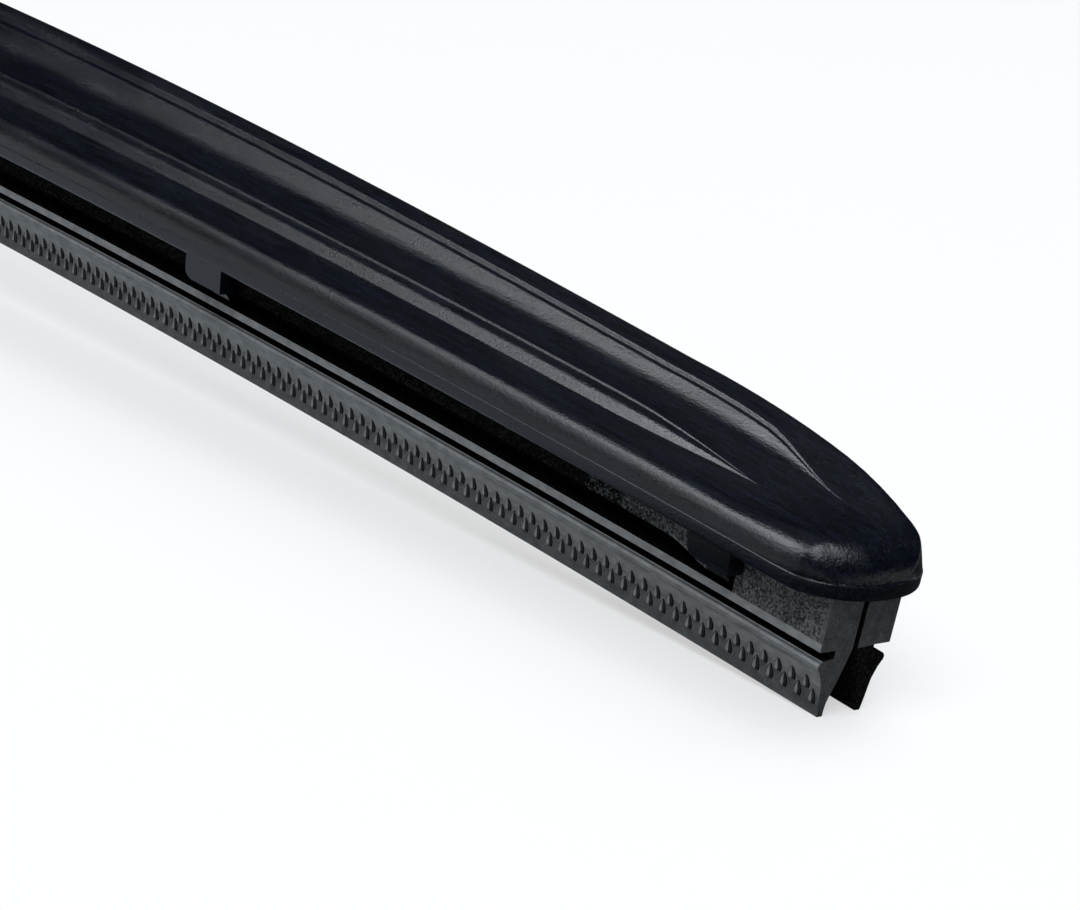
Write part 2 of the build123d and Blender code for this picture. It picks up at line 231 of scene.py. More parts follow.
class Shell:
    """Vertices and faces of one piece, gathered before its mesh is made."""

    def __init__(self, bow: Bow) -> None:
        """Start an empty shell that follows a bow.

        Args:
            bow: Bow of the blade.
        """
        self.bow = bow
        self.points: list[Vector] = []
        self.faces: list[list[int]] = []

    def add(self, points: Iterable[Vector]) -> list[int]:
        """Add points and give their indices.

        Args:
            points: The points, in metres.

        Returns:
            The indices, in the same order.
        """
        first = len(self.points)
        self.points.extend(points)
        return list(range(first, len(self.points)))

    def skin(self, rings: Sequence[list[int]], caps: Sequence[Sequence[int]] = ()) -> None:
        """Join rings of equally many points by faces and close both ends.

        Args:
            rings: Rows of point indices.
            caps: Places in a ring that make up each face of an end; one face over all of them if empty.
        """
        for a, b in zip(rings, rings[1:]):
            for i in range(len(a)):
                j = (i + 1) % len(a)
                self.faces.append([a[i], a[j], b[j], b[i]])
        for row in caps or [range(len(rings[0]))]:
            self.faces.append([rings[0][i] for i in row][::-1])
            self.faces.append([rings[-1][i] for i in row])

    def loft(self, sections: Iterable[tuple[float, Section]], caps: Sequence[Sequence[int]] = ()) -> None:
        """Skin a row of closed sections, given as pairs of arc length and points."""
        self.skin([self.add(self.bow.point(u, y, h) for y, h in points) for u, points in sections], caps)

    def mesh(self, name: str, end: End = End.RIGHT) -> bpy.types.Mesh:
        """Turn the shell into a mesh.

        Args:
            name: Name of the mesh.
            end: LEFT mirrors the shell to the other end of the blade.

        Returns:
            The mesh, with outward faces and without doubled points.
        """
        mesh = bpy.data.meshes.new(name)
        points = [Vector((p.x * end.value, p.y, p.z)) for p in self.points]
        mesh.from_pydata(points, [], self.faces)
        work = bmesh.new()
        work.from_mesh(mesh)
        bmesh.ops.remove_doubles(work, verts=work.verts, dist=WELD_M)
        bmesh.ops.dissolve_degenerate(work, edges=work.edges, dist=SLIVER_M)
        bmesh.ops.recalc_face_normals(work, faces=work.faces)
        work.to_mesh(mesh)
        work.free()
        return mesh


# Helpers for materials


def linear(hex_colour: str) -> tuple[float, float, float, float]:
    """Linear colour from an sRGB hex value such as #1a1b1d.

    Args:
        hex_colour: The hex value.

    Returns:
        Red, green, blue and an alpha of 1.
    """
    parts = [int(hex_colour[i:i + 2], 16) / 255 for i in (1, 3, 5)]
    red, green, blue = (c / 12.92 if c <= 0.04045 else ((c + 0.055) / 1.055) ** 2.4 for c in parts)
    return red, green, blue, 1.0


def add_node(tree: Tree, kind: str, inputs: dict | None = None, **settings: object) -> bpy.types.Node:
    """Add a node with its settings, values and links.

    Args:
        tree: Tree that gets the node.
        kind: Blender's name of the node type.
        inputs: Values, or output sockets to link, by input name or number.
        **settings: Properties of the node.

    Returns:
        The new node.
    """
    node = tree.nodes.new(kind)
    for key, value in settings.items():
        setattr(node, key, value)
    for key, value in (inputs or {}).items():
        if isinstance(value, Socket):
            tree.links.new(value, node.inputs[key])
        else:
            node.inputs[key].default_value = value
    return node


def add_math(tree: Tree, operation: str, *values: float | Socket, **settings: object) -> Socket:
    """Add a Math node on numbers or sockets and give its result."""
    node = add_node(tree, "ShaderNodeMath", dict(enumerate(values)), operation=operation, **settings)
    return node.outputs["Value"]


def add_span(tree: Tree, value: Socket, source: Span, target: Span = FULL, **settings: object) -> Socket:
    """A value moved from one span to another, and kept inside it.

    Args:
        tree: Tree that gets the nodes.
        value: The value.
        source: Span that it lies in.
        target: Span that it is moved to; its ends may be sockets.
        **settings: Properties of the node.

    Returns:
        The moved value.
    """
    return add_node(tree, "ShaderNodeMapRange", {
        "Value": value, "From Min": source[0], "From Max": source[1],
        "To Min": target[0], "To Max": target[1],
    }, **settings).outputs["Result"]


def clear_nodes(owner: bpy.types.Material | bpy.types.World) -> Tree:
    """Switch a material or a world to nodes and give its empty tree.

    Args:
        owner: The material or world.

    Returns:
        Its node tree, without nodes.
    """
    owner.use_nodes = True
    owner.node_tree.nodes.clear()
    return owner.node_tree


@dataclass(frozen=True)
class Finish:
    """Base of every finish: a name, two colours that vary over the surface, and a shader."""

    name: str
    dark: str
    light: str
    roughness: float
    metallic: float = 0.0
    ior: float = 1.5

    def material(self) -> bpy.types.Material:
        """Build the material: a Principled shader with the finish's own sockets.

        Returns:
            The material.
        """
        material = bpy.data.materials.new(self.name)
        tree = clear_nodes(material)
        place = add_node(tree, "ShaderNodeTexCoord").outputs["Object"]
        sockets = {"Metallic": self.metallic, **self.sockets(tree, self.cells(tree, place, (MM,) * 3))}
        if self.metallic == 0:
            sockets["IOR"] = self.ior
        shader = add_node(tree, "ShaderNodeBsdfPrincipled", sockets)
        add_node(tree, "ShaderNodeOutputMaterial", {"Surface": shader.outputs["BSDF"]})
        return material

    def sockets(self, tree: Tree, place: Socket) -> dict:
        """Colour, roughness and relief of the finish.

        Args:
            tree: Tree that gets the nodes.
            place: Object coordinates in millimetres.

        Returns:
            Values or links by the name of the shader's socket.
        """
        raise NotImplementedError

    def cells(self, tree: Tree, place: Socket, size: Size) -> Socket:
        """Coordinates counted in cells of a size along X, Y and Z."""
        return add_node(tree, "ShaderNodeVectorMath", {0: place, 1: tuple(1 / s for s in size)},
                        operation="MULTIPLY").outputs["Vector"]

    def noise(self, tree: Tree, place: Socket, size: Size, detail: float = 2.0) -> Socket:
        """Noise whose cells have a given size in millimetres along X, Y and Z.

        Args:
            tree: Tree that gets the nodes.
            place: Coordinates in millimetres.
            size: Cell size along each axis.
            detail: Octaves of finer noise.

        Returns:
            The noise, from 0 to 1.
        """
        return add_node(tree, "ShaderNodeTexNoise", {
            "Vector": self.cells(tree, place, size), "Scale": 1.0, "Detail": detail,
            "Roughness": NOISE_ROUGHNESS,
        }).outputs["Fac"]

    def uneven(self, tree: Tree, value: Socket, source: Span, smoother: float, rougher: float) -> Socket:
        """Roughness about the finish's own, from smoother to rougher over a value's span."""
        return add_span(tree, value, source, (self.roughness - smoother, self.roughness + rougher))

    def bump(self, tree: Tree, height: Socket, depth_mm: float) -> Socket:
        """Normal of a relief with a depth in millimetres.

        Args:
            tree: Tree that gets the nodes.
            height: Relief from 0 to 1.
            depth_mm: Depth of the whole relief.

        Returns:
            The normal.
        """
        return add_node(tree, "ShaderNodeBump", {
            "Height": height, "Distance": depth_mm * MM, "Strength": 1.0,
        }).outputs["Normal"]

    def mix(self, tree: Tree, value: Socket) -> Socket:
        """Colour between the finish's dark and light by a value from 0 to 1.

        Args:
            tree: Tree that gets the nodes.
            value: Share of the light colour.

        Returns:
            The colour.
        """
        ramp = add_node(tree, "ShaderNodeValToRGB", {"Fac": value})
        ramp.color_ramp.elements[0].color = linear(self.dark)
        ramp.color_ramp.elements[1].color = linear(self.light)
        return ramp.outputs["Color"]


@dataclass(frozen=True)
class MouldedCover(Finish):
    """Moulded black thermoplastic elastomer: satin gloss, tool grain, flow lines and smudges."""

    grain_mm: Size = (0.26, 0.26, 0.26)
    grain_depth_mm: float = 0.05
    flow_mm: Size = (60.0, 0.7, 0.7)
    flow_weight: float = 0.8
    streak_mm: Size = (12.0, 0.4, 0.4)
    streak_weight: float = 1.2
    bloom_span: Span = (0.9, 1.4)
    smudge_mm: Size = (14.0, 3.0, 3.0)
    smudge_span: Span = (0.3, 0.75)
    smoother: float = 0.05
    rougher: float = 0.08

    def sockets(self, tree: Tree, place: Socket) -> dict:
        """Colour, roughness and relief of the finish.

        Args:
            tree: Tree that gets the nodes.
            place: Object coordinates in millimetres.

        Returns:
            Values or links by the name of the shader's socket.
        """
        # The tool's spark grain breaks the flat faces into fine points of light
        grain = self.noise(tree, place, self.grain_mm, detail=3.0)
        # Flow lines of the moulding run along the blade
        flow = self.noise(tree, place, self.flow_mm)
        # Wiping leaves short streaks of wax bloom along it
        streak = self.noise(tree, place, self.streak_mm, detail=4.0)
        # Smudges of handling, some millimetres wide and longer along the blade
        smudge = self.noise(tree, place, self.smudge_mm, detail=4.0)
        height = add_math(tree, "MULTIPLY_ADD", flow, self.flow_weight, grain)
        # The bloom also sits in the grain
        bloom = add_math(tree, "MULTIPLY_ADD", streak, self.streak_weight, grain)
        return {
            "Base Color": self.mix(tree, add_span(tree, bloom, self.bloom_span)),
            "Roughness": self.uneven(tree, smudge, self.smudge_span, self.smoother, self.rougher),
            "Normal": self.bump(tree, height, self.grain_depth_mm),
        }


@dataclass(frozen=True)
class WipingRubber(Finish):
    """Vulcanised wiper rubber: matte dark grey, with a rougher head where it left the extruder, and painted
    shade from a face attribute.
    """

    # Black of the grain's pits and of the painted shade
    pit_and_shade_dark: str = "#050505"
    sheen: float = 0.18
    mottle_mm: Size = (1.6, 1.0, 1.0)
    grain_mm: Size = (0.25, 0.25, 0.25)
    grain_depth_mm: float = 0.2
    least_grain: float = 0.05
    pit_span: Span = (0.38, 0.62)
    pit_shade: float = 0.3

    def sockets(self, tree: Tree, place: Socket) -> dict:
        """Colour, roughness and relief of the finish.

        Args:
            tree: Tree that gets the nodes.
            place: Object coordinates in millimetres.

        Returns:
            Values or links by the name of the shader's socket.
        """
        rough_skin = add_node(tree, "ShaderNodeAttribute", attribute_name="grain").outputs["Fac"]
        painted_shade_and_tone = add_node(tree, "ShaderNodeAttribute", attribute_name="painted_shade_and_tone").outputs["Fac"]
        # Talc and graphite dust leave pale mottling on what can be touched; slots, grooves and shaded faces
        # get painted shade from the attribute instead
        mottle = self.noise(tree, place, self.mottle_mm, detail=5.0)
        # Skin grain of the rubber, drawn at a quarter of a millimetre so that it shows
        grain = self.noise(tree, place, self.grain_mm, detail=3.0)
        depth = add_span(tree, rough_skin, FULL, (self.least_grain, 1.0))
        height = add_math(tree, "MULTIPLY", grain, depth)
        # Where the skin is rough, its pits are bare and its points are rubbed grey; the attribute's painted
        # shade is added on top
        pits = add_span(tree, grain, self.pit_span, (self.pit_shade, -self.pit_shade))
        pits_and_shade = add_math(tree, "MULTIPLY_ADD", pits, rough_skin, painted_shade_and_tone, use_clamp=True)
        coat = self.mix(tree, add_span(tree, mottle, MOST_NOISE))
        shade = add_node(tree, "ShaderNodeMixRGB", {
            "Fac": pits_and_shade, "Color1": coat, "Color2": linear(self.pit_and_shade_dark),
        })
        return {
            "Base Color": shade.outputs["Color"], "Roughness": self.roughness,
            "Normal": self.bump(tree, height, self.grain_depth_mm),
            # Painted shade also takes away the gloss: the specular level falls to nothing where the shade
            # is full
            "Specular IOR Level": add_span(tree, painted_shade_and_tone, FULL, (self.sheen, 0.0)),
        }


@dataclass(frozen=True)
class FinePlastic(Finish):
    """Moulded plastic or powder coat with a fine texture and slightly clouded colour."""

    grain_mm: Size = (0.4, 0.4, 0.4)
    grain_depth_mm: float = 0.015
    cloud_mm: Size = (9.0, 9.0, 9.0)
    unevenness: float = 0.05

    def sockets(self, tree: Tree, place: Socket) -> dict:
        """Colour, roughness and relief of the finish.

        Args:
            tree: Tree that gets the nodes.
            place: Object coordinates in millimetres.

        Returns:
            Values or links by the name of the shader's socket.
        """
        grain = self.noise(tree, place, self.grain_mm)
        cloud = self.noise(tree, place, self.cloud_mm, detail=3.0)
        return {
            "Base Color": self.mix(tree, add_span(tree, cloud, MOST_NOISE)),
            "Roughness": self.uneven(tree, grain, MOST_NOISE, self.unevenness, self.unevenness),
            "Normal": self.bump(tree, grain, self.grain_depth_mm),
        }


@dataclass(frozen=True)
class BrushedMetal(Finish):
    """Rolled or drawn steel: fine lines along one axis in its gloss."""

    line_mm: Size = (30.0, 0.15, 0.15)
    line_depth_mm: float = 0.004
    unevenness: float = 0.08

    def sockets(self, tree: Tree, place: Socket) -> dict:
        """Colour, roughness and relief of the finish.

        Args:
            tree: Tree that gets the nodes.
            place: Object coordinates in millimetres.

        Returns:
            Values or links by the name of the shader's socket.
        """
        lines = self.noise(tree, place, self.line_mm)
        return {
            "Base Color": self.mix(tree, lines),
            "Roughness": self.uneven(tree, lines, MOST_NOISE, self.unevenness, self.unevenness),
            "Normal": self.bump(tree, lines, self.line_depth_mm),
        }


# Cover halves


@dataclass(frozen=True)
class CoverShape:
    """Cover at one arc length: widths to both sides, heights above the rim, shares that fade out."""

    near: float
    far: float
    shoulder: float
    crest: float
    ridge: float
    sweep: float
    pull: float
    crease: float
    bluff: float


@dataclass
class CoverHalf:
    """One moulded cover half: ridged skin, closed nose, claws, and webs that seat on the rubber's head."""

    bow: Bow
    half_width: float = 8.9
    wall: float = 1.7
    rim_height: float = 13.35
    rim_inset: float = 0.5
    rim_round: float = 0.4
    band: float = 1.5
    band_round: float = 0.1
    crest_root: float = 14.15
    crest_tip: float = 10.7
    full_crest: float = 8.15
    crest_run: float = 160.0
    shoulder: float = 4.25
    shoulder_round: float = 3.0
    shoulder_swell: float = 0.85
    shoulder_blend: float = 0.5
    shoulder_line: float = 0.965
    shoulder_cut: float = 3.0
    least_cut: float = 0.7
    terrace_start: float = -0.66
    terrace_base: float = 0.04
    terrace_slope: float = 0.427
    terrace_round: float = 0.7
    overhang: float = 2.1
    setback: float = 0.5
    front_curve: float = 0.0415
    front_limit: float = 1.3
    least_rise: float = 0.05
    nose_length: float = 39.2
    near_round_along: float = 6.2
    near_round_across: float = 8.8
    far_round_along: float = 4.9
    far_round_across: float = 7.9
    nose_pull: float = 0.15
    pull_length: float = 15.5
    crease_length: float = 7.0
    crease_inset: float = 0.07
    crease_near: float = 0.38
    crease_far: float = 0.1
    crease_slope: float = 0.35
    crease_round: float = 0.05
    bluff_length: float = 15.0
    bluff_cut: float = 0.8
    bluff_across: float = 0.3
    bluff_rise: float = 0.128
    nose_wall: float = 5.0
    nose_solid: float = 0.8
    run_steps: int = 44
    fall_steps: int = 14
    nose_steps: int = 26
    nose_power: float = 2.6
    ridge_end: float = 17.8
    ridge_fade: float = 22.0
    ridge_point: float = -0.25
    sweep_end: float = 9.5
    sweep_fade: float = 15.0
    inner_end: float = 40.0
    claw_pitch: float = 86.0
    end_claw: float = 14.9
    claw_count: int = 3
    claw_width: float = 7.0
    claw_inset: float = 0.05
    end_claw_width: float = 6.1
    end_claw_inset: float = 0.9
    claw_round: float = 1.2
    claw_steps: int = 7
    claw_taper: float = 0.35
    claw_lead: float = 1.0
    claw_inner: float = 5.45
    tab_bottom: float = 10.55
    hook_bottom: float = 9.02
    hook_top: float = 9.92
    hook_tip: float = 3.3
    hook_root: float = 0.8
    hook_join: float = 0.3
    hook_lean: float = 0.15
    hook_width: float = 3.2
    saddle_thickness: float = 1.6
    saddle_reach: float = 1.06
    head_top: float = 14.57

    # Ridge: share of the near half, lift, round and its steps
    ridge_corners: Profile = (
        (-0.425, 0.13, 0.08, 3), (-0.33, 0.9, 0.4, 6), (-0.21, 1.0, 0.1, 3),
        (-0.195, 1.19, 0.08, 4), (-0.17, 1.04, 0.08, 4), (-0.14, 0.56, 0.2, 4),
    )

    # Far side: shares of the far half and of the rise, round and its steps, step of the sweep out and up
    far_corners: Profile = (
        (0.325, 0.485, 1.3, 10), (0.325, 0.485, 0.12, 4, 1.95, 2.1), (0.325, 0.485, 0.1, 4, 2.55, 2.2),
        (0.325, 0.485, 0.15, 4, 2.9, 2.78), (0.78, 0.872, 0.2, 4), (0.876, 0.925, 0.4, 5),
        (0.935, 0.9, 0.6, 7), (0.985, 0.2, 2.4, 9),
    )

    # Inside: shares of the half width and of the roof's height
    lining_corners: Profile = (
        (1, 0), (0.985, 0.3), (0.8, 0.84), (0.6, 0.68), (0.28, 0.48), (-0.2, 0.4), (-0.62, 0.25),
        (-1, 0.12), (-1, 0),
    )

    @property
    def end(self) -> float:
        """Arc length of the nose's end."""
        return self.bow.half_length + self.overhang

    def shape(self, u: float) -> CoverShape:
        """Widths, heights and shares of the cover at arc length u.

        Args:
            u: Arc length of the section.

        Returns:
            The shape there.
        """
        ahead = max(self.end - u, 0.0)
        body = max(ahead - self.setback, 0.0)
        rise = clamp((ahead - self.nose_length) / self.crest_run)
        crest = self.crest_tip + (self.crest_root - self.crest_tip) * math.sin(rise * math.pi / 2)
        crest = self.band + (crest - self.band) * quarter(body / self.nose_length)
        bluff = 1 - ease(ahead / self.bluff_length)
        shoulder = self.shoulder + self.shoulder_swell * bluff - self.band
        shoulder = self.band + shoulder * quarter(body / self.shoulder_round)
        return CoverShape(
            near=self.half_width - self.near_round_across * (1 - quarter(ahead / self.near_round_along)),
            far=self.half_width - self.far_round_across * (1 - quarter(ahead / self.far_round_along)),
            shoulder=max(soft_min(shoulder, crest, self.shoulder_blend), self.band + self.least_rise),
            crest=max(crest, self.band + 2 * self.least_rise),
            ridge=taper((ahead - self.ridge_end) / self.ridge_fade),
            sweep=ease((ahead - self.sweep_end) / self.sweep_fade),
            pull=self.nose_pull * (1 - ease(body / self.pull_length)),
            crease=1 - ease(ahead / self.crease_length),
            bluff=bluff,
        )

    def skin(self, u: float) -> Section:
        """Outside of the cover at arc length u, from its near edge over the ridges to its far edge.

        Args:
            u: Arc length of the section.

        Returns:
            The points, as many at any arc length.
        """
        shape = self.shape(u)
        small = min(shape.far / self.half_width, shape.shoulder / self.shoulder)
        rise = shape.crest - shape.shoulder
        scale = shape.sweep * rise / self.full_crest
        base = self.rim_height + shape.shoulder
        rim_top = self.rim_height + self.band

        def ridge_at(y: float, lift: float, cut: float, steps: int) -> Corner:
            """Corner of the ridge, which closes to a point and sinks into the terrace.

            Args:
                y: Share of the near half.
                lift: Height above the terrace.
                cut: Round.
                steps: Points of the round.

            Returns:
                The corner.
            """
            y = self.ridge_point + (y - self.ridge_point) * shape.ridge
            terrace = self.terrace_base + self.terrace_slope * (y - self.terrace_start)
            height = base + rise * terrace + lift * shape.ridge
            return Corner(shape.near * y, height, cut * small * shape.ridge, steps)

        def far_at(y: float, h: float, cut: float, steps: int, out: float = 0.0, up: float = 0.0) -> Corner:
            """Corner on the far side, by shares, with the sweep's own step out and up."""
            across = shape.far * y * (1 - shape.pull) + out * scale
            return Corner(across, base + rise * h + up * scale, cut * small, steps)

        def side(half: float, sign: int, crease: float) -> list[Corner]:
            """Rim and band of one side, from the inside up.

            Args:
                half: Half width on that side.
                sign: Side of the blade.
                crease: Depth that the crease over the band gains at the nose.

            Returns:
                The corners.
            """
            inset = (self.crease_inset + crease * shape.crease) * small
            creased = rim_top + inset * self.crease_slope
            return [
                Corner(sign * (half - self.rim_inset * small), self.rim_height),
                Corner(sign * half, self.rim_height, self.rim_round * small, 5),
                Corner(sign * half, rim_top, self.band_round * small, 3),
                Corner(sign * (half - inset), creased, self.crease_round * small, 3),
            ]

        shoulder_cut = (self.shoulder_cut + self.bluff_cut * shape.bluff) * max(small, self.least_cut)
        terrace_y = self.terrace_start + self.bluff_across * shape.bluff
        terrace_h = self.terrace_base + self.bluff_rise * shape.bluff
        return self.dome(u, rounded([
            *side(shape.near, -1, self.crease_near),
            Corner(-self.shoulder_line * shape.near, base, shoulder_cut, 16),
            Corner(shape.near * terrace_y, base + rise * terrace_h, self.terrace_round * small, 5),
            *(ridge_at(*corner) for corner in self.ridge_corners),
            *(far_at(*corner) for corner in self.far_corners),
            *side(shape.far, 1, self.crease_far)[::-1],
        ]))

    def dome(self, u: float, section: Section) -> Section:
        """Section with its top lowered towards the near side of the nose, whose front is curved in plan.

        Args:
            u: Arc length of the section.
            section: Points of the outside.

        Returns:
            The lowered points.
        """
        line = self.rim_height + self.band
        full = self.shape(u).shoulder - self.band
        points: Section = []
        for y, h in section:
            back = min(self.front_curve * min(y, 0.0) ** 2, self.front_limit)
            share = (self.shape(u + back).shoulder - self.band) / full
            points.append((y, line + (h - line) * share if h > line else h))
        return points

    def lining(self, u: float, hollow: bool) -> Section:
        """Inside of the cover at arc length u from far to near, flat at the rim where the nose is solid.

        Args:
            u: Arc length of the section.
            hollow: False in the solid nose.

        Returns:
            The points, as many at any arc length.
        """
        shape = self.shape(u)
        if not hollow:
            far, near = shape.far * self.nose_solid, -shape.near * self.nose_solid
            return [(y, self.rim_height) for y in spread(far, near, len(self.lining_corners))]
        roof = shape.crest - self.wall
        halves = [(shape.near if y < 0 else shape.far) - self.wall for y, _ in self.lining_corners]
        return [(y * half, self.rim_height + roof * h) for half, (y, h) in zip(halves, self.lining_corners)]

    def sections(self) -> list[tuple[float, Section]]:
        """Closed sections from the inner end to the end of the nose.

        Returns:
            Pairs of arc length and section.
        """
        nose = self.end - self.nose_wall
        fall = self.end - self.nose_length
        run = spread(self.inner_end, fall, self.run_steps) + spread(fall, nose, self.fall_steps)[1:]
        rows = [(u, self.skin(u) + self.lining(u, True)) for u in run]
        for i in range(self.nose_steps):
            u = self.end - self.nose_wall * (1 - i / self.nose_steps) ** self.nose_power
            rows.append((u, self.skin(u) + self.lining(u, False)))
        return rows

    def claw(self, shell: Shell, u: float, width: float, outer: float, side: Side) -> None:
        """Add one claw: a tab with a rounded lower corner, and a narrower hook under the rubber's head.

        Args:
            shell: Shell that gets the claw.
            u: Arc length of the claw's middle.
            width: Width of the tab.
            outer: Offset of its outer face at the rim.
            side: Long side that it stands on.
        """
        top = self.rim_height + self.wall / 2
        inside_wall = self.half_width - self.wall / 2
        below = self.rim_height - self.tab_bottom
        rounding = spread(self.tab_bottom, self.tab_bottom + self.claw_round, self.claw_steps)
        levels = [*rounding, self.rim_height, top]

        def outer_face(h: float) -> float:
            """Offset of the tab's outer face, which runs into the cover's wall.

            Args:
                h: Height above the lip edge.

            Returns:
                The offset across.
            """
            if h <= self.rim_height:
                return outer - self.claw_taper * (self.rim_height - h) / below
            return outer + (inside_wall - outer) * (h - self.rim_height) / (top - self.rim_height)

        def inner_face(h: float) -> float:
            """Offset of the tab's inner face at a height."""
            share = clamp((h - self.rim_height + self.claw_lead) / (top - self.rim_height + self.claw_lead))
            return self.claw_inner + (inside_wall - self.wall / 4 - self.claw_inner) * share

        def left(h: float) -> float:
            """Left side of the tab at a height, rounded at its lower corner."""
            return -width / 2 + self.claw_round * (1 - quarter((h - self.tab_bottom) / self.claw_round))

        rows = []
        for h in levels:
            outside, inside = outer_face(h), inner_face(h)
            corners = ((left(h), outside), (width / 2, outside), (width / 2, inside), (left(h), inside))
            rows.append(shell.add(self.bow.point(u + x, side.value * y, h) for x, y in corners))
        shell.skin(rows)
        root = self.claw_inner + self.hook_root
        joined = self.tab_bottom + self.hook_join
        hook = [
            (root, joined), (root, self.hook_top + self.hook_join),
            (self.claw_inner - self.hook_lean, self.hook_bottom), (self.hook_tip, self.hook_bottom),
            (self.hook_tip, self.hook_top), (self.claw_inner, self.hook_top), (self.claw_inner, joined),
        ]
        hook = [(side.value * y, h) for y, h in hook]
        shell.loft([(u - self.hook_width / 2, hook), (u + self.hook_width / 2, hook)])

    def saddle(self, shell: Shell, u: float) -> None:
        """Add the web across the inside of the cover at arc length u.

        Args:
            shell: Shell that gets the web.
            u: Arc length of its middle.
        """
        roof = [(y * self.saddle_reach, h + self.wall / 2) for y, h in self.lining(u, True)]
        web = [p for p in roof if p[1] > self.head_top]
        web = [(web[0][0], self.head_top), *web, (web[-1][0], self.head_top)]
        shell.loft([(u - self.saddle_thickness / 2, web), (u + self.saddle_thickness / 2, web)])

    def build(self, end: End, name: str) -> bpy.types.Object:
        """Build the whole moulding.

        Args:
            end: End of the blade that it covers.
            name: Name of the object.

        Returns:
            The object.
        """
        shell = Shell(self.bow)
        shell.loft(self.sections())
        for i in range(self.claw_count):
            u = self.bow.half_length - self.end_claw - i * self.claw_pitch
            width = self.end_claw_width if i == 0 else self.claw_width
            outer = self.half_width - (self.end_claw_inset if i == 0 else self.claw_inset)
            for side in Side:
                self.claw(shell, u, width, outer, side)
            self.saddle(shell, u)
        return add_smooth(name, shell.mesh(name, end))


# Wiping rubber


